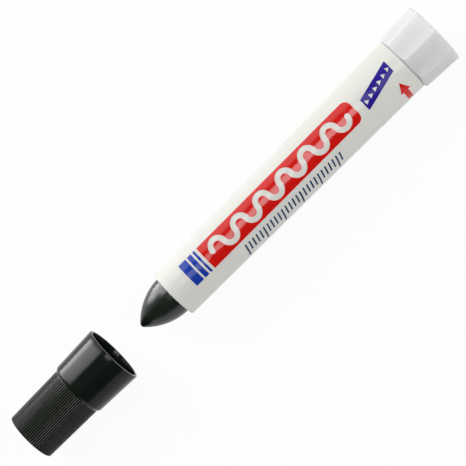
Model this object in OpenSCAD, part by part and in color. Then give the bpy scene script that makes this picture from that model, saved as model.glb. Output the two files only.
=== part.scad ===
// Twist-feed paint marker with its cap taken off, lying along X with the tip towards -X.
// Lengths are in millimetres. Stations along the marker are counted from the barrel's front rim,
// positive towards the knob; stations in the cap are counted from its closed end.

/* [Barrel] */
// Visible length of the barrel, from the front rim to the knob
barrel_len = 103.5; // [90:0.5:120]
// Wall between the bore and the outside at the front rim
barrel_wall = 1.53; // [1.4:0.01:2.2]
// Growth of the outer diameter from the front rim to the knob
barrel_taper = 1.74; // [1:0.02:2.6]
// Rounding of the front rim
barrel_rim_round = 0.35; // [0.2:0.05:0.5]
// Length of the spigot that reaches into the knob
spigot_len = 7; // [6:0.5:8]
// Wall between the guide slots and the outside of the spigot
spigot_wall = 0.7; // [0.5:0.05:0.8]
// Width of the two guide slots in the bore
keyway_w = 3; // [2.5:0.1:3.5]
// Depth of the two guide slots in the bore
keyway_depth = 0.7; // [0.5:0.05:0.8]
// Distance of the guide slots from the front rim
keyway_start = 8; // [6:0.5:12]

/* [Paint stick] */
// Diameter of the paint stick
stick_d = 14.2; // [13:0.1:14.6]
// How far the stick stands out of the front rim
tip_out = 14.65; // [12:0.05:16]
// Radius of the bullet-shaped side
ogive_r = 20.2; // [18:0.1:24]
// Radius of the nose
nose_r = 1.3; // [0.8:0.05:1.5]
// Length of the stick inside the barrel
stick_in = 32; // [28:0.5:34]

/* [Stick carrier] */
// Thickness of the disc that backs the stick
disc_t = 2.4; // [2:0.1:3]
// Thickness of the push tube's front end, behind the disc
tube_end_t = 1.2; // [1:0.1:2]
// Wall of the push tube
tube_wall = 1.1; // [0.9:0.1:1.4]
// Length of the nut thread at the tube's rear end
nut_len = 10; // [8:0.5:14]
// Thickness of the guide ring round the nut
ring_t = 2.5; // [2:0.1:4]
// Diameter of the barbed stud that is cast into the stick
stud_d = 6; // [5:0.1:7]
// Length of the stud
stud_len = 6; // [5:0.5:8]
// Number of barbs on the stud
barb_count = 3; // [2:1:4]
// Height of a barb
barb_h = 0.5; // [0.3:0.1:0.8]

/* [Feed screw] */
// Travel of the two-start thread in one turn
lead = 7.5; // [6:0.5:9]
// Diameter over the thread
thread_d = 8.4; // [8:0.1:8.6]
// Depth of the thread
thread_depth = 1.2; // [0.9:0.1:1.4]
// Travel of the stick from the photographed place back into the barrel
retract = 15; // [14:0.5:16]
// Height of the thrust flange over the thread
flange_rim = 1.3; // [0.8:0.1:2]
// Thickness of the thrust flange
flange_t = 1.5; // [1:0.1:2]
// Diameter of the journal that runs in the bush
journal_d = 6; // [5.5:0.1:6.6]
// Width across flats of the hexagonal stem in the knob
stem_af = 4.8; // [4.4:0.1:5]

/* [End bush] */
// Length of the bush inside the barrel
bush_len = 9; // [8:0.5:11]
// Thickness of the bush's flange
bush_flange_t = 1; // [0.8:0.1:1.4]

/* [Knob] */
// Length of the knob
knob_len = 14.2; // [13:0.05:18]
// Height of the front flats over the barrel
knob_step = 0.1; // [0.05:0.05:0.5]
// Growth of the width across flats from front to rear
knob_taper = 1.3; // [0.6:0.1:1.6]
// Length of the chamfer that meets the barrel
knob_chamfer = 0.7; // [0.5:0.1:2]
// Amount turned off each corner of the octagon
knob_corner_cut = 0.06; // [0.05:0.01:0.25]
// Thickness of the closed rear end
knob_end_t = 1.8; // [1.4:0.1:2.4]
// Diameter of the hub that grips the stem
hub_d = 9; // [8:0.1:10]
// Bevel round the rear end face
knob_rear_bevel = 0.4; // [0.2:0.05:0.8]

/* [Cap] */
// Length of the cap
cap_len = 38.2; // [36:0.1:42]
// Distance from the cap's mouth to the tip, with the cap off
cap_gap = 12.65; // [5:0.05:40]
// Clearance round the stick at the closed end
cap_well_fit = 0.48; // [0.4:0.02:0.8]
// Growth of the grip's radius from the closed end to the shoulder
cap_grip_flare = 0.35; // [0.2:0.01:0.4]
// Wall of the skirt at the shoulder
cap_skirt_wall = 0.82; // [0.7:0.01:1]
// Growth of the skirt's radius from the shoulder to the mouth
cap_skirt_flare = 0.6; // [0.4:0.01:0.8]
// Length of the ribbed grip with its plain collar
cap_grip_len = 21.2; // [19:0.1:22]
// Length of the plain collar behind the ribs
cap_collar_len = 0.1; // [0.1:0.1:1.5]
// Length of the conical shoulder
cap_shoulder_len = 1.4; // [1.2:0.1:2.4]
// Rounding between the shoulder and the skirt
cap_shoulder_round = 1.2; // [0.8:0.1:1.6]
// Distance from the shoulder to the step that meets the barrel's rim
cap_seat_drop = 0.3; // [0.2:0.1:1]
// Thickness of the closed end
cap_end_t = 1.5; // [1.2:0.1:2]
// Wall left under the ribs
cap_well_wall = 0.9; // [0.8:0.05:1]
// Wall at the mouth
cap_mouth_wall = 0.95; // [0.7:0.05:1.1]
// Rounding of the closed end and the mouth
cap_edge_round = 0.3; // [0.2:0.05:0.4]
// Number of grip ribs
rib_count = 72; // [60:1:80]
// Width of the groove between two ribs
rib_groove_w = 0.62; // [0.4:0.02:0.64]
// Depth of the groove between two ribs
rib_groove_depth = 0.32; // [0.2:0.01:0.36]

/* [Fits] */
// Radial clearance of the pieces that slide in the barrel
slide_fit = 0.2; // [0.15:0.01:0.25]
// Radial clearance of the journal in the bush
journal_fit = 0.1; // [0.05:0.01:0.15]
// Clearance all round the feed thread
thread_fit = 0.25; // [0.2:0.01:0.3]
// Radial clearance between the closed cap and the barrel
cap_fit = 0.2; // [0.15:0.01:0.25]
// Axial clearance at the knob and the thrust flange
end_fit = 0.15; // [0.15:0.01:0.3]
// Radial clearance between the knob and the spigot
knob_fit = 0.2; // [0.15:0.01:0.3]
// Clearance of the pieces that are pressed together
press_fit = 0.03; // [0.02:0.01:0.05]

/* [Print] */
// Thickness of the printed ink film
ink_t = 0.1; // [0.08:0.01:0.12]
// Height above the horizon from which the print is read
print_elevation = 66; // [55:0.5:75]
// Height of the coloured bar, round the barrel
bar_h = 8.6; // [7:0.1:10]
// Space between the last blue band and the red bar
bar_gap = 1; // [0.6:0.1:2]
// Shift of the bar's middle above the line of sight
bar_rise = 0.75; // [0:0.05:1.5]
// Corner rounding of the red bar's rear end
bar_round = 2.3; // [1:0.1:3]
// Mean radius of the bends of the white wave
wave_r = 2.5; // [2:0.05:2.8]
// Width of the white wave
wave_w = 1.9; // [1:0.1:2.4]
// Least red left at each end of the white wave
wave_margin = 3; // [2:0.1:5]
// Start of the blue bands
band_start = 8.05; // [6:0.05:9]
// Widths of the blue bands, from the front
band_widths = [3.1, 1.7, 0.85];
// Space between the blue bands
band_space = 0.7; // [0.5:0.05:1]
// Distance from the red bar's front end to the navy scale
scale_lead = 11.2; // [4:0.1:14]
// Length of the navy scale
scale_len = 41.8; // [30:0.1:50]
// Distance from one tick to the next
tick_pitch = 1.6; // [1.4:0.05:1.7]
// Width of a tick
tick_w = 0.55; // [0.4:0.05:0.8]
// Height of a short tick
tick_h = 3.6; // [3:0.1:4]
// Height of every fifth tick
long_tick_h = 5.6; // [5:0.1:6.5]
// Lean of the ticks, as station over height
tick_slant = 0.21; // [0:0.01:0.4]
// Turn of the scale round the barrel from the bar
scale_turn = 46; // [40:1:50]
// Space between the red bar and the violet tag
tag_gap = 3.1; // [2:0.1:6]
// Space between the violet tag and the knob
tag_back = 3.9; // [2:0.1:5]
// Length of the violet tag
tag_len = 13.9; // [12:0.1:15]
// Height of the violet tag
tag_h = 4.3; // [3.5:0.1:5]
// Rise of the violet tag from its front to its rear end
tag_rise = 3.4; // [2:0.1:4]
// Shift of the tag's middle above the line of sight
tag_lift = 0.95; // [0:0.05:1.5]
// Number of small triangles left open in the tag
tag_marks = 6; // [4:1:7]
// Radius of a triangle, from its middle to a corner
tag_mark_r = 0.95; // [0.6:0.05:1.2]
// Distance from the arrow's middle line to the knob
arrow_back = 5.45; // [3:0.05:8]
// Width of the arrow's head
arrow_head_w = 3.8; // [3:0.1:4.4]
// Length of the arrow's head, round the barrel
arrow_head_len = 3.8; // [3:0.1:4.4]
// Width of the arrow's shaft
arrow_shaft_w = 1.9; // [1.2:0.1:2.2]
// Turn of the arrow's point from the line of sight
arrow_turn = 20.5; // [15:0.5:25]
// Turn taken up by the arrow's shaft
arrow_shaft_turn = 30; // [20:1:32]

/* [Hidden] */
$fn = 96;

// Overshoot of a cutter past the face that it leaves
over = 1;

// Barrel
bore_r = stick_d / 2 + slide_fit;
keyway_r = bore_r + keyway_depth;
barrel_front_r = bore_r + barrel_wall;
barrel_rear_r = barrel_front_r + barrel_taper / 2;
spigot_r = keyway_r + spigot_wall;
barrel_end = barrel_len + spigot_len;

// Carrier and stick
carrier_r = bore_r - slide_fit;
key_r = keyway_r - slide_fit;
key_w = keyway_w - 2 * slide_fit;
thread_r = thread_d / 2;
tube_bore_r = thread_r + 2 * thread_fit;
tube_r = tube_bore_r + tube_wall;
tube_start = stick_in + disc_t + tube_end_t;
barb_pitch = stud_len / barb_count;

// Bush, screw and knob
bush_front = barrel_end - bush_len;
bush_rear = barrel_end + bush_flange_t;
flange_front = bush_front - end_fit - flange_t;
tube_end = flange_front - 1.5 * end_fit - retract;
screw_front = tube_start + retract + 2 * end_fit;
hub_front = bush_rear + end_fit;
stem_r = stem_af / 2 / cos(30);
knob_front = barrel_len + end_fit;
knob_rear = knob_front + knob_len;
stem_end = knob_rear - knob_end_t / 2;
knob_bore_r = spigot_r + knob_fit;
knob_front_flat = barrel_rear_r + knob_step;
knob_rear_flat = knob_front_flat + knob_taper / 2;
knob_front_corner = knob_front_flat / cos(22.5) - knob_corner_cut;
knob_rear_corner = knob_rear_flat / cos(22.5) - knob_corner_cut;

// Thread: left-handed, so that a clockwise turn of the knob feeds the stick out
thread_points = 12;
slice_deg = 20;

// Cap
cap_skirt_start = cap_grip_len + cap_shoulder_len;
cap_seat = cap_skirt_start + cap_seat_drop;
cap_seat_r = barrel_front_r + cap_fit;
cap_skirt_r = cap_seat_r + cap_skirt_wall;
cap_mouth_r = cap_skirt_r + cap_skirt_flare;
cap_well_r = stick_d / 2 + cap_well_fit;
cap_well_top_r = cap_well_r + cap_grip_flare;
cap_end_r = cap_well_r + cap_well_wall + rib_groove_depth;
cap_grip_r = cap_end_r + cap_grip_flare;
rib_len = cap_grip_len - cap_collar_len;
rib_slope = atan(cap_grip_flare / cap_grip_len);

// Place of the marker: origin below the middle, axis along X
total_len = cap_len + cap_gap + tip_out + barrel_len + end_fit + knob_len;
rim_x = -total_len / 2 + cap_len + cap_gap + tip_out;
axis_h = max(knob_rear_flat, cap_mouth_r);

// Places of the print along the barrel
band_starts = [for (i = 0, x = band_start; i <= len(band_widths);
                    x = x + (i < len(band_widths) ? band_widths[i] + band_space : 0), i = i + 1) x];
bar_start = band_starts[len(band_widths)] - band_space + bar_gap;
tag_start = barrel_len - tag_back - tag_len;
bar_len = tag_start - tag_gap - bar_start;
wave_bends = 2 * floor((bar_len - 2 * wave_margin) / (4 * wave_r));
scale_start = bar_start + scale_lead;
tick_count = floor(scale_len / tick_pitch) + 1;
arrow_station = barrel_len - arrow_back;

// Radius of the barrel's outside at a station
function barrel_r(z) = barrel_front_r + (barrel_rear_r - barrel_front_r)
    * (z - barrel_rim_round) / (barrel_len - barrel_rim_round);

// Points of an arc from one angle to another
function arc(centre, r, from, to, steps) =
    [for (i = [0 : steps]) centre + r * [cos(from + (to - from) * i / steps),
                                         sin(from + (to - from) * i / steps)]];

// Puts a piece that is modelled along Z at a station of the marker
module along_marker(station = 0) {
    translate([rim_x + station, 0, axis_h]) rotate([0, 90, 0]) children();
}

// Ring or disc between two stations
module ring(from, to, outer_r, inner_r = 0) {
    translate([0, 0, from]) difference() {
        cylinder(h = to - from, r = outer_r);
        if (inner_r > 0) translate([0, 0, -over]) cylinder(h = to - from + 2 * over, r = inner_r);
    }
}

// Pair of opposite keys, or the cutter for a pair of slots
module key_pair(from, to, r, w) {
    translate([-w / 2, -r, from]) cube([w, 2 * r, to - from]);
}

// Rod with the two-start thread, in phase with every other call
module thread_rod(from, to, extra) {
    crest = thread_r + extra;
    outline = [for (i = [0 : thread_points - 1]) let (a = 360 * i / thread_points)
        (crest - thread_depth * (1 - cos(2 * a)) / 2) * [cos(a), sin(a)]];
    turn = 360 * (to - from) / lead;
    translate([0, 0, from]) rotate([0, 0, -360 * from / lead])
        linear_extrude(height = to - from, twist = turn, slices = ceil(turn / slice_deg),
                       $fn = thread_points)
            polygon(outline);
}

module barrel() {
    rim = barrel_rim_round;
    profile = concat(
        [[bore_r + rim, 0]],
        arc([barrel_front_r - rim, rim], rim, -90, 0, 5),
        [[barrel_rear_r, barrel_len], [spigot_r, barrel_len],
         [spigot_r, barrel_end], [bore_r, barrel_end], [bore_r, rim]]);
    color([0.93, 0.93, 0.9]) along_marker() difference() {
        rotate_extrude() polygon(profile);
        key_pair(keyway_start, barrel_end + over, keyway_r, keyway_w);
    }
}

module end_bush() {
    color([0.85, 0.85, 0.82]) along_marker() difference() {
        union() {
            ring(bush_front, barrel_end, bore_r - press_fit);
            key_pair(bush_front, barrel_end, keyway_r - press_fit, keyway_w - 2 * press_fit);
            ring(barrel_end, bush_rear, spigot_r);
        }
        ring(bush_front - over, bush_rear + over, journal_d / 2 + journal_fit);
    }
}

module feed_screw() {
    color([0.85, 0.85, 0.82]) along_marker() union() {
        thread_rod(screw_front, flange_front + flange_t / 2, 0);
        ring(flange_front, flange_front + flange_t, thread_r + flange_rim);
        ring(flange_front, hub_front, journal_d / 2);
        translate([0, 0, hub_front - over])
            cylinder(h = stem_end - hub_front + over, r = stem_r, $fn = 6);
    }
}

// Cutter with a flat face that leans outwards from a place on the knob
module flat_cutter(at_r, at_z, lean) {
    reach = 2 * knob_rear_flat;
    translate([at_r, -reach / 2, at_z]) rotate([0, lean, 0]) translate([0, 0, -over])
        cube([reach, reach, knob_len + 2 * over]);
}

// Solid outside of the knob: an octagon that widens to the rear, with turned corners, a turned
// chamfer at the front and a bevel along the rear edge of each flat
module knob_blank() {
    profile = [[0, 0], [barrel_rear_r, 0], [knob_front_corner, knob_chamfer],
               [knob_rear_corner, knob_len], [0, knob_len]];
    difference() {
        rotate_extrude() polygon(profile);
        for (i = [0 : 7]) rotate([0, 0, 45 * i]) {
            flat_cutter(knob_front_flat, 0, atan(knob_taper / 2 / knob_len));
            flat_cutter(knob_rear_flat, knob_len - knob_rear_bevel, -45);
        }
    }
}

module knob() {
    color([0.88, 0.9, 0.89]) along_marker() difference() {
        union() {
            difference() {
                translate([0, 0, knob_front]) knob_blank();
                ring(knob_front - over, knob_rear - knob_end_t, knob_bore_r);
            }
            ring(hub_front, knob_rear - knob_end_t / 2, hub_d / 2);
        }
        translate([0, 0, hub_front - over])
            cylinder(h = stem_end - hub_front + over + press_fit,
                     r = stem_r + press_fit, $fn = 6);
    }
}

// Barbed stud that points towards the tip; the same outline is left open in the stick
module barbed_stud(extra) {
    for (i = [0 : barb_count - 1])
        translate([0, 0, stick_in - stud_len + barb_pitch * i])
            cylinder(h = barb_pitch, r1 = stud_d / 2 - barb_h + extra, r2 = stud_d / 2 + extra);
}

module carrier() {
    color([0.82, 0.82, 0.8]) along_marker() difference() {
        union() {
            barbed_stud(0);
            ring(stick_in, stick_in + disc_t, carrier_r);
            key_pair(stick_in, stick_in + disc_t, key_r, key_w);
            ring(stick_in + disc_t, tube_end, tube_r);
            ring(tube_end - ring_t, tube_end, carrier_r);
            key_pair(tube_end - ring_t, tube_end, key_r, key_w);
        }
        ring(tube_start, tube_end - nut_len, tube_bore_r);
        thread_rod(tube_end - nut_len - over, tube_end + over, thread_fit);
    }
}

module paint_stick() {
    r = stick_d / 2;
    tangent = -tip_out + nose_r + sqrt(pow(ogive_r - nose_r, 2) - pow(ogive_r - r, 2));
    nose_centre = -tip_out + nose_r;
    meet = asin((nose_centre - tangent) / (ogive_r - nose_r));
    profile = concat(
        arc([0, nose_centre], nose_r, -90, meet, 6),
        arc([r - ogive_r, tangent], ogive_r, meet, 0, 24),
        [[r, stick_in], [0, stick_in]]);
    color([0.1, 0.11, 0.1]) along_marker() difference() {
        rotate_extrude() polygon(profile);
        barbed_stud(press_fit);
    }
}

// Grooves between the grip ribs
module rib_grooves() {
    half = rib_groove_w / 2;
    for (i = [0 : rib_count - 1])
        rotate([0, 0, 360 * i / rib_count]) translate([cap_end_r, 0, 0])
            rotate([0, rib_slope, 0]) translate([0, 0, -over])
                linear_extrude(rib_len + over)
                    polygon([[-rib_groove_depth, 0],
                             [rib_groove_depth, -2 * half], [rib_groove_depth, 2 * half]]);
}

module cap() {
    edge = cap_edge_round;
    mouth_edge = cap_edge_round / 2;
    mouth_bore_r = cap_mouth_r - cap_mouth_wall;
    profile = concat(
        [[0, 0]],
        arc([cap_end_r - edge, edge], edge, -90, 0, 4),
        [[cap_grip_r, cap_grip_len]],
        arc([cap_skirt_r - cap_shoulder_round, cap_skirt_start], cap_shoulder_round, -35, 0, 4),
        arc([cap_mouth_r - edge, cap_len - edge], edge, 0, 90, 4),
        arc([mouth_bore_r + mouth_edge, cap_len - mouth_edge], mouth_edge, 90, 180, 3),
        [[cap_seat_r, cap_seat], [cap_well_top_r, cap_seat],
         [cap_well_r, cap_end_t], [0, cap_end_t]]);
    color([0.11, 0.13, 0.12]) along_marker(-tip_out - cap_gap - cap_len) difference() {
        rotate_extrude() polygon(profile);
        rib_grooves();
    }
}

// Thin skin on the barrel, and the outline of a print seen along a turned line of sight.
// The outline's x is the station, and its y runs down round the barrel.
module ink(turn = 0) {
    front = barrel_r(0);
    rear = barrel_r(barrel_len);
    along_marker() intersection() {
        difference() {
            cylinder(h = barrel_len, r1 = front + ink_t, r2 = rear + ink_t);
            cylinder(h = barrel_len, r1 = front, r2 = rear);
        }
        rotate([0, 0, 270 - print_elevation + turn]) rotate([0, -90, 0])
            translate([0, 0, -rear - over]) linear_extrude(rear)
                children();
    }
}

// Red bar with square front corners and round rear corners
module bar_outline() {
    translate([bar_start, -bar_h / 2 - bar_rise]) {
        square([bar_len - bar_round, bar_h]);
        translate([0, bar_round]) square([bar_len, bar_h - 2 * bar_round]);
        for (y = [bar_round, bar_h - bar_round])
            translate([bar_len - bar_round, y]) circle(bar_round);
    }
}

// Row of half rings that swing up and down, with round ends
module wave_outline() {
    inner = wave_r - wave_w / 2;
    outer = wave_r + wave_w / 2;
    reach = 2 * wave_r * wave_bends;
    translate([bar_start + (bar_len - reach) / 2, -bar_rise]) {
        for (i = [0 : wave_bends - 1])
            translate([wave_r * (2 * i + 1), 0]) difference() {
                circle(outer);
                circle(inner);
                translate([-outer - over, i % 2 == 0 ? 0 : -outer - over])
                    square([2 * (outer + over), outer + over]);
            }
        for (x = [0, reach]) translate([x, 0]) circle(wave_w / 2);
    }
}

// Arrow round the barrel that shows which way the knob feeds the stick. Its places round the
// barrel are angles from the middle of the arrow, so that the outline wraps without a stretch.
module arrow() {
    r = barrel_r(arrow_station);
    head_turn = arrow_head_len / r * 180 / PI;
    half_turn = (head_turn + arrow_shaft_turn) / 2;
    point = r * sin(-half_turn);
    base = r * sin(head_turn - half_turn);
    tail = r * sin(half_turn);
    head = arrow_head_w / 2;
    shaft = arrow_shaft_w / 2;
    ink(arrow_turn + half_turn) translate([arrow_station, 0])
        polygon([[0, point], [head, base], [shaft, base], [shaft, tail],
                 [-shaft, tail], [-shaft, base], [-head, base]]);
}

module print_red() {
    color([0.86, 0.1, 0.08]) union() {
        ink() difference() {
            bar_outline();
            wave_outline();
        }
        arrow();
    }
}

// Blue bands that get narrower towards the red bar
module print_blue() {
    color([0.12, 0.22, 0.6]) ink()
        for (i = [0 : len(band_widths) - 1])
            translate([band_starts[i], -bar_h / 2 - bar_rise]) square([band_widths[i], bar_h]);
}

// Slanted ticks along the barrel, every fifth one longer
module print_navy() {
    color([0.13, 0.22, 0.38]) ink(scale_turn)
        for (i = [0 : tick_count - 1]) {
            x = scale_start + tick_pitch * i;
            up = tick_h / 2;
            down = i % 5 == 0 ? long_tick_h - up : up;
            top = x + up * tick_slant;
            foot = x - down * tick_slant;
            polygon([[top, -up], [top + tick_w, -up], [foot + tick_w, down], [foot, down]]);
        }
}

// Leaning tag with a row of small open triangles
module print_violet() {
    half_h = tag_h / 2;
    half_rise = tag_rise / 2;
    color([0.18, 0.13, 0.52]) ink() translate([tag_start, -tag_lift]) difference() {
        polygon([[0, half_rise - half_h], [tag_len, -half_rise - half_h],
                 [tag_len, half_h - half_rise], [0, half_h + half_rise]]);
        for (i = [0 : tag_marks - 1]) {
            share = (i + 0.5) / tag_marks;
            translate([tag_len * share, half_rise - tag_rise * share])
                circle(tag_mark_r, $fn = 3);
        }
    }
}

barrel();
end_bush();
feed_screw();
knob();
carrier();
paint_stick();
cap();
print_red();
print_blue();
print_navy();
print_violet();
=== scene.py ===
"""Studio scene of the industrial paint marker: materials, floor, lamps and camera.

All lengths are in metres, and the marker lies along X.
"""

import math

import bpy
from mathutils import Matrix, Vector

MM = 0.001
MICRON = 0.000001

# The marker's axis: its height above the floor and its direction
AXIS_HEIGHT = 0.01045
AXIS_DIRECTION = Vector((1, 0, 0))

# Camera: an elevated view across the marker, rolled so that the marker lies along the diagonal
ELEVATION = math.radians(66)
DISTANCE = 0.656
CAMERA_X = 0.0444
AIM_X = 0.0012
AIM_UP = 0.00026
ROLL = math.radians(45.1)
LENS = 158.7
SENSOR = 36
CLIP_START = 0.01
CLIP_END = 20

# Lamps: angles turn about the marker's axis, from the camera over the zenith to the far horizon
LAMPS = {
    "key": dict(angle=64, x=-0.27, width=0.20, height=1.06, radiance=5.2),
    "key_low": dict(angle=102, x=-0.28, width=0.24, height=0.38, radiance=8.5),
    "key_tip": dict(angle=87, x=-0.58, width=0.34, height=0.76, radiance=5.2),
    "veil": dict(angle=54, x=0.02, width=0.30, height=0.65, radiance=1.1),
    "strip": dict(angle=6, x=0.025, width=0.28, height=0.42, radiance=5.1),
    "front_fill": dict(angle=-24, x=0.74, width=0.46, height=0.80, radiance=5.9),
}
LAMP_DISTANCE = 1.0
# Watts that a square metre of lamp needs for a radiance of 1
WATTS_PER_RADIANCE = 4

# World: its brightness where it is seen, which grows with the Y of the direction up to a limit,
# and the share of it that lights the object
WORLD_NEAR = 0.10
WORLD_FAR = 1.0
WORLD_FAR_Y = 0.9
WORLD_LIGHT = 0.2

# Floor: the share of its own white where it is seen leaves room for the object's shadow
FLOOR_SIZE = 8.0
FLOOR_COLOUR = (0.82, 0.82, 0.82, 1)
FLOOR_GLOW = 0.94

# Ribbed grip of the cap, as in part.scad: its ends, the radius of the crests at the closed end,
# and how much that radius grows along the grip
GRIP_START = -0.091675
GRIP_END = -0.0705
GRIP_RADIUS = 0.0088
GRIP_FLARE = 0.35 / 21.2

# The grip's finish: its fade at the shoulder, the depths below the crests at which their paler colour,
# a painted highlight, starts and is full, and the roughness of the grooves
GRIP_FADE = 0.1 * MM
CREST_FOOT = 0.11 * MM
CREST_TOP = 0.025 * MM
GROOVE_ROUGHNESS = 0.6

# Inks by node: name of the material, scene colour and index of refraction
INKS = {
    "print_red": ("ink_red", (0.65, 0.006, 0.003), 1.43),
    "print_blue": ("ink_blue", (0.010, 0.045, 0.38), 1.43),
    "print_navy": ("ink_navy", (0.012, 0.035, 0.12), 1.2),
    "print_violet": ("ink_violet", (0.026, 0.012, 0.27), 1.2),
}

# Softened edges of CAD pieces
CAP_EDGE = 0.05 * MM
KNOB_EDGE = 0.12 * MM
EDGE_SEGMENTS = 2
SHARP_ANGLE = math.radians(30)
WELD_DISTANCE = 1 * MICRON


def view_axes():
    """Directions from the marker towards the camera's side, and upwards across the line of sight."""
    toward = Vector((0, -math.cos(ELEVATION), math.sin(ELEVATION)))
    across = Vector((0, math.sin(ELEVATION), math.cos(ELEVATION)))
    return toward, across


def on_axis(x):
    """Point of the marker's axis."""
    return Vector((x, 0, AXIS_HEIGHT))


def square_to(direction, back):
    """The direction, turned the least so that it is square to another."""
    return (direction - back * direction.dot(back)).normalized()


def put_in_scene(thing, at, right, up, back):
    """Puts a camera or lamp in the scene, with its own axes along the given directions."""
    turn = Matrix((right, up, back)).transposed().to_4x4()
    thing.matrix_world = Matrix.Translation(at) @ turn
    bpy.context.scene.collection.objects.link(thing)


def add_camera():
    toward, across = view_axes()
    eye = on_axis(CAMERA_X) + toward * DISTANCE
    aim = on_axis(AIM_X) + across * AIM_UP
    back = (eye - aim).normalized()
    along = square_to(AXIS_DIRECTION, back)
    above = back.cross(along)
    right = along * math.cos(ROLL) - above * math.sin(ROLL)
    up = along * math.sin(ROLL) + above * math.cos(ROLL)
    data = bpy.data.cameras.new("camera")
    data.lens = LENS
    data.sensor_width = SENSOR
    data.clip_start = CLIP_START
    data.clip_end = CLIP_END
    camera = bpy.data.objects.new("camera", data)
    put_in_scene(camera, eye, right, up, back)
    bpy.context.scene.camera = camera


def add_area_lamp(name, at, target, size, radiance):
    """Rectangular lamp at a place, facing a target, whose surface has the given radiance."""
    width, height = size
    data = bpy.data.lights.new(name, "AREA")
    data.shape = "RECTANGLE"
    data.size = width
    data.size_y = height
    data.energy = WATTS_PER_RADIANCE * width * height * radiance
    lamp = bpy.data.objects.new(name, data)
    lamp.visible_camera = False
    back = (at - target).normalized()
    right = square_to(AXIS_DIRECTION, back)
    put_in_scene(lamp, at, right, back.cross(right), back)


def add_lamps():
    toward, across = view_axes()
    for name, lamp in LAMPS.items():
        turn = math.radians(lamp["angle"])
        target = on_axis(lamp["x"])
        at = target + (toward * math.cos(turn) + across * math.sin(turn)) * LAMP_DISTANCE
        add_area_lamp(name, at, target, (lamp["width"], lamp["height"]), lamp["radiance"])


def add_math(nodes, links, operation, first, second):
    """Math node on a socket and a socket or number. Gives its output."""
    node = nodes.new("ShaderNodeMath")
    node.operation = operation
    links.new(first, node.inputs[0])
    if isinstance(second, float):
        node.inputs[1].default_value = second
    else:
        links.new(second, node.inputs[1])
    return node.outputs[0]


def add_seen(nodes, links):
    """Socket that is 1 where the camera, a reflection or a see-through part looks."""
    path = nodes.new("ShaderNodeLightPath")
    seen = add_math(nodes, links, "MAXIMUM", path.outputs["Is Camera Ray"], path.outputs["Is Glossy Ray"])
    return add_math(nodes, links, "MAXIMUM", seen, path.outputs["Is Transmission Ray"])


def add_range(nodes, links, value, source, target):
    """Maps a socket from one range to another, held at its ends. Gives the node."""
    node = nodes.new("ShaderNodeMapRange")
    names = ("From Min", "From Max", "To Min", "To Max")
    for socket, number in zip(names, (*source, *target)):
        node.inputs[socket].default_value = number
    links.new(value, node.inputs["Value"])
    return node


def add_world():
    """Dim on the camera's side, and pale towards the far horizon. It gives little light itself."""
    world = bpy.data.worlds.new("studio")
    world.use_nodes = True
    nodes = world.node_tree.nodes
    links = world.node_tree.links
    background = nodes["Background"]
    background.inputs["Color"].default_value = (1, 1, 1, 1)
    direction = nodes.new("ShaderNodeTexCoord")
    split = nodes.new("ShaderNodeSeparateXYZ")
    links.new(direction.outputs["Generated"], split.inputs[0])
    grade = add_range(nodes, links, split.outputs["Y"], (0, WORLD_FAR_Y), (WORLD_NEAR, WORLD_FAR))
    grade.interpolation_type = "SMOOTHSTEP"
    share = add_math(nodes, links, "MAXIMUM", add_seen(nodes, links), WORLD_LIGHT)
    strength = add_math(nodes, links, "MULTIPLY", share, grade.outputs["Result"])
    links.new(strength, background.inputs["Strength"])
    bpy.context.scene.world = world


def floor_material():
    """Matt and pale, with its own white where it is seen."""
    material = bpy.data.materials.new("floor")
    material.use_nodes = True
    nodes = material.node_tree.nodes
    links = material.node_tree.links
    nodes.clear()
    output = nodes.new("ShaderNodeOutputMaterial")
    matt = nodes.new("ShaderNodeBsdfDiffuse")
    matt.inputs["Color"].default_value = FLOOR_COLOUR
    glow = nodes.new("ShaderNodeEmission")
    blend = nodes.new("ShaderNodeMixShader")
    share = add_math(nodes, links, "MULTIPLY", add_seen(nodes, links), FLOOR_GLOW)
    links.new(share, blend.inputs["Fac"])
    links.new(matt.outputs[0], blend.inputs[1])
    links.new(glow.outputs[0], blend.inputs[2])
    links.new(blend.outputs[0], output.inputs["Surface"])
    return material


def add_floor():
    """Pale floor that shows as white and keeps a soft shadow."""
    half = FLOOR_SIZE / 2
    mesh = bpy.data.meshes.new("floor")
    outline = [(-half, -half, 0), (half, -half, 0), (half, half, 0), (-half, half, 0)]
    mesh.from_pydata(outline, [], [(0, 1, 2, 3)])
    mesh.materials.append(floor_material())
    floor = bpy.data.objects.new("floor", mesh)
    bpy.context.scene.collection.objects.link(floor)


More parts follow.
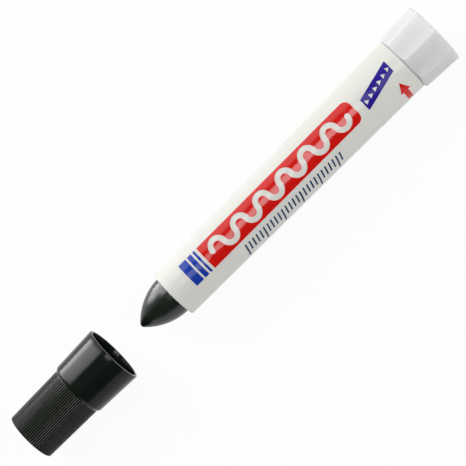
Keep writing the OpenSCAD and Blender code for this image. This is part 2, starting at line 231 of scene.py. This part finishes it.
class Finish:
    """A Principled material that is built up from noise in the object's own coordinates."""

    def __init__(self, name, ior, **plain):
        self.material = bpy.data.materials.new(name)
        self.material.use_nodes = True
        self.nodes = self.material.node_tree.nodes
        self.links = self.material.node_tree.links
        self.shader = self.nodes["Principled BSDF"]
        self.place = self.nodes.new("ShaderNodeTexCoord").outputs["Object"]
        self.shader.inputs["IOR"].default_value = ior
        self.relief = None
        for socket, value in plain.items():
            self.shader.inputs[socket.replace("_", " ")].default_value = value

    def noise(self, size, detail=2.0, stretch=(1, 1, 1)):
        """Noise with features of about the given size."""
        scale = self.nodes.new("ShaderNodeMapping")
        scale.inputs["Scale"].default_value = stretch
        texture = self.nodes.new("ShaderNodeTexNoise")
        texture.inputs["Scale"].default_value = 1 / size
        texture.inputs["Detail"].default_value = detail
        self.links.new(self.place, scale.inputs["Vector"])
        self.links.new(scale.outputs[0], texture.inputs["Vector"])
        return texture.outputs["Fac"]

    def spread(self, value, low, high, start=0.3, end=0.7):
        """Maps a part of a value's range, by default the middle part of a noise, to another range."""
        return add_range(self.nodes, self.links, value, (start, end), (low, high)).outputs["Result"]

    def uneven(self, size, low, high, detail=2.0):
        """Number that wanders between two limits over patches of about the given size."""
        return self.spread(self.noise(size, detail), low, high)

    def mix(self, value, first, second):
        """Blend of two colours, each a socket or three numbers."""
        blend = self.nodes.new("ShaderNodeMix")
        blend.data_type = "RGBA"
        for socket, colour in (("A", first), ("B", second)):
            if isinstance(colour, tuple):
                blend.inputs[socket].default_value = (*colour, 1)
            else:
                self.links.new(colour, blend.inputs[socket])
        self.links.new(value, blend.inputs["Factor"])
        return blend.outputs["Result"]

    def along(self):
        """Place along the marker."""
        split = self.nodes.new("ShaderNodeSeparateXYZ")
        self.links.new(self.place, split.inputs[0])
        return split.outputs["X"]

    def off_axis(self):
        """Distance from the marker's axis."""
        shift = self.nodes.new("ShaderNodeMapping")
        shift.inputs["Location"].default_value = (0, 0, -AXIS_HEIGHT)
        shift.inputs["Scale"].default_value = (0, 1, 1)
        self.links.new(self.place, shift.inputs["Vector"])
        length = self.nodes.new("ShaderNodeVectorMath")
        length.operation = "LENGTH"
        self.links.new(shift.outputs[0], length.inputs[0])
        return length.outputs["Value"]

    def math(self, operation, first, second):
        return add_math(self.nodes, self.links, operation, first, second)

    def colour(self, value, first, second):
        """Base colour that drifts between two colours."""
        self.links.new(self.mix(value, first, second), self.shader.inputs["Base Color"])

    def roughness(self, value):
        self.links.new(value, self.shader.inputs["Roughness"])

    def bump(self, value, depth):
        """Adds a relief of the given depth on those added before."""
        node = self.nodes.new("ShaderNodeBump")
        node.inputs["Strength"].default_value = 1
        node.inputs["Distance"].default_value = depth
        self.links.new(value, node.inputs["Height"])
        if self.relief:
            self.links.new(self.relief, node.inputs["Normal"])
        self.relief = node.outputs["Normal"]
        self.links.new(self.relief, self.shader.inputs["Normal"])


def linear(red, green, blue):
    """Scene colour of an 8-bit display colour."""
    return tuple(c / 12.92 if c <= 0.04045 else ((c + 0.055) / 1.055) ** 2.4
                 for c in (red / 255, green / 255, blue / 255))


def shade(colour, factor):
    """The colour, darker or lighter by a factor."""
    return tuple(channel * factor for channel in colour)


def add_gloss(finish):
    """Gloss of the tube, which also covers its print, with the flow lines of a moulding."""
    finish.roughness(finish.uneven(4 * MM, 0.12, 0.16))
    finish.bump(finish.noise(3 * MM, stretch=(0.4, 1, 1)), depth=4 * MICRON)


def barrel_finish():
    """Glossy white tube with a faint orange peel."""
    finish = Finish("barrel_white", ior=1.27)
    white = linear(226, 225, 219)
    finish.colour(finish.uneven(20 * MM, 0, 1), white, shade(white, 0.97))
    add_gloss(finish)
    finish.bump(finish.noise(0.4 * MM), depth=0.5 * MICRON)
    return finish.material


def ink_finish(name, colour, ior):
    """Printed ink under the gloss of the tube, with a slight mottle."""
    finish = Finish(name, ior)
    mottle = finish.uneven(0.6 * MM, 0, 1, detail=3.0)
    finish.colour(mottle, shade(colour, 1.06), shade(colour, 0.9))
    add_gloss(finish)
    finish.bump(finish.noise(0.3 * MM), depth=0.7 * MICRON)
    return finish.material


def rib_masks(finish):
    """Masks that are 1 on the cap's ribbed grip, and on the crests of its ribs."""
    along = finish.along()
    grip = finish.spread(along, 1, 0, start=GRIP_END, end=GRIP_END + GRIP_FADE)
    growth = finish.math("MULTIPLY", along, GRIP_FLARE)
    level = finish.math("SUBTRACT", finish.off_axis(), growth)
    crest_level = GRIP_RADIUS - GRIP_FLARE * GRIP_START
    crest = finish.spread(level, 0, 1, start=crest_level - CREST_FOOT, end=crest_level - CREST_TOP)
    return grip, crest


def cap_finish():
    """Black moulded plastic. The grip has painted light in its colour: a painted highlight on the crests
    of its ribs and painted shade in the grooves.
    """
    finish = Finish("cap_black", ior=1.31)
    black = linear(19, 26, 20)
    # Crest colour, paler than the black: a painted highlight
    painted_crest_highlight = linear(58, 63, 56)
    grip, crest = rib_masks(finish)
    plain = finish.mix(finish.uneven(6 * MM, 0, 1), shade(black, 0.6), shade(black, 0.85))
    # Colour of the ribs: painted shade in the grooves, painted highlight on the crests
    ribs = finish.mix(crest, shade(black, 0.2), painted_crest_highlight)
    finish.colour(grip, plain, ribs)
    skin = finish.uneven(1.2 * MM, 0.17, 0.21, detail=3.0)
    groove = finish.spread(crest, GROOVE_ROUGHNESS, 0, start=0, end=1)
    finish.roughness(finish.math("MAXIMUM", skin, finish.math("MULTIPLY", grip, groove)))
    finish.bump(finish.noise(0.18 * MM, detail=3.0), depth=0.8 * MICRON)
    return finish.material


def stick_finish():
    """Black solid paint: waxy, with fine pits and a few lighter spots, which are painted glints."""
    finish = Finish("paint_black", ior=1.55)
    black = linear(24, 33, 25)
    # Lighter spots in the colour are painted glints
    painted_glint_specks = finish.spread(finish.noise(0.5 * MM, detail=4.0), 0, 1, start=0.62, end=0.72)
    finish.colour(painted_glint_specks, shade(black, 0.7), shade(black, 1.8))
    finish.roughness(finish.uneven(1 * MM, 0.22, 0.31, detail=3.0))
    finish.bump(finish.noise(3.5 * MM), depth=20 * MICRON)
    finish.bump(finish.noise(0.3 * MM, detail=3.0), depth=4 * MICRON)
    return finish.material


def knob_finish():
    """Translucent natural plastic."""
    finish = Finish("knob_natural", ior=1.35, Subsurface_Weight=0.7, Subsurface_Scale=4 * MM,
                    Subsurface_Radius=(1, 1, 1))
    white = linear(231, 232, 231)
    finish.colour(finish.uneven(8 * MM, 0, 1), white, shade(white, 0.96))
    finish.roughness(finish.uneven(2 * MM, 0.30, 0.40))
    finish.bump(finish.noise(0.6 * MM, stretch=(0.3, 1, 1)), depth=4 * MICRON)
    return finish.material


def inner_finish():
    """Plain natural plastic of the working pieces inside."""
    finish = Finish("inner_plastic", ior=1.5)
    pale = linear(214, 213, 206)
    finish.colour(finish.uneven(4 * MM, 0, 1), pale, shade(pale, 0.94))
    finish.roughness(finish.uneven(2 * MM, 0.38, 0.48))
    finish.bump(finish.noise(0.4 * MM), depth=4 * MICRON)
    return finish.material


def dress(nodes, names, material):
    """Gives CAD nodes their material."""
    for name in names:
        slots = nodes[name].data.materials
        slots.clear()
        slots.append(material)


def soften(piece, width):
    """Welds the mesh of a CAD piece and rounds its sharp edges, so that they catch the light."""
    weld = piece.modifiers.new("weld", "WELD")
    weld.merge_threshold = WELD_DISTANCE
    bevel = piece.modifiers.new("bevel", "BEVEL")
    bevel.width = width
    bevel.segments = EDGE_SEGMENTS
    bevel.limit_method = "ANGLE"
    bevel.angle_limit = SHARP_ANGLE
    bevel.harden_normals = True


def dress_marker(nodes):
    """Gives every CAD node its material, and softens the cap and the knob."""
    dress(nodes, ["barrel"], barrel_finish())
    for node, (name, colour, ior) in INKS.items():
        dress(nodes, [node], ink_finish(name, colour, ior))
    dress(nodes, ["cap"], cap_finish())
    dress(nodes, ["paint_stick"], stick_finish())
    dress(nodes, ["knob"], knob_finish())
    dress(nodes, ["end_bush", "feed_screw", "carrier"], inner_finish())
    soften(nodes["cap"], CAP_EDGE)
    soften(nodes["knob"], KNOB_EDGE)


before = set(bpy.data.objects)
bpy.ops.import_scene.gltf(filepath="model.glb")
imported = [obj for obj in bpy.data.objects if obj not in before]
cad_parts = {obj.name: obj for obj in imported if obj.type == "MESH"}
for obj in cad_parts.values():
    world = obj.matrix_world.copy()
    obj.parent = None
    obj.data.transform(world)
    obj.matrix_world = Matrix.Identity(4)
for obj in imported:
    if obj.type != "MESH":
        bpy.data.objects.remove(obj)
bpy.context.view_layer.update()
bpy.context.scene.view_settings.view_transform = "Standard"
add_camera()
add_world()
add_lamps()
add_floor()
dress_marker(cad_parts)
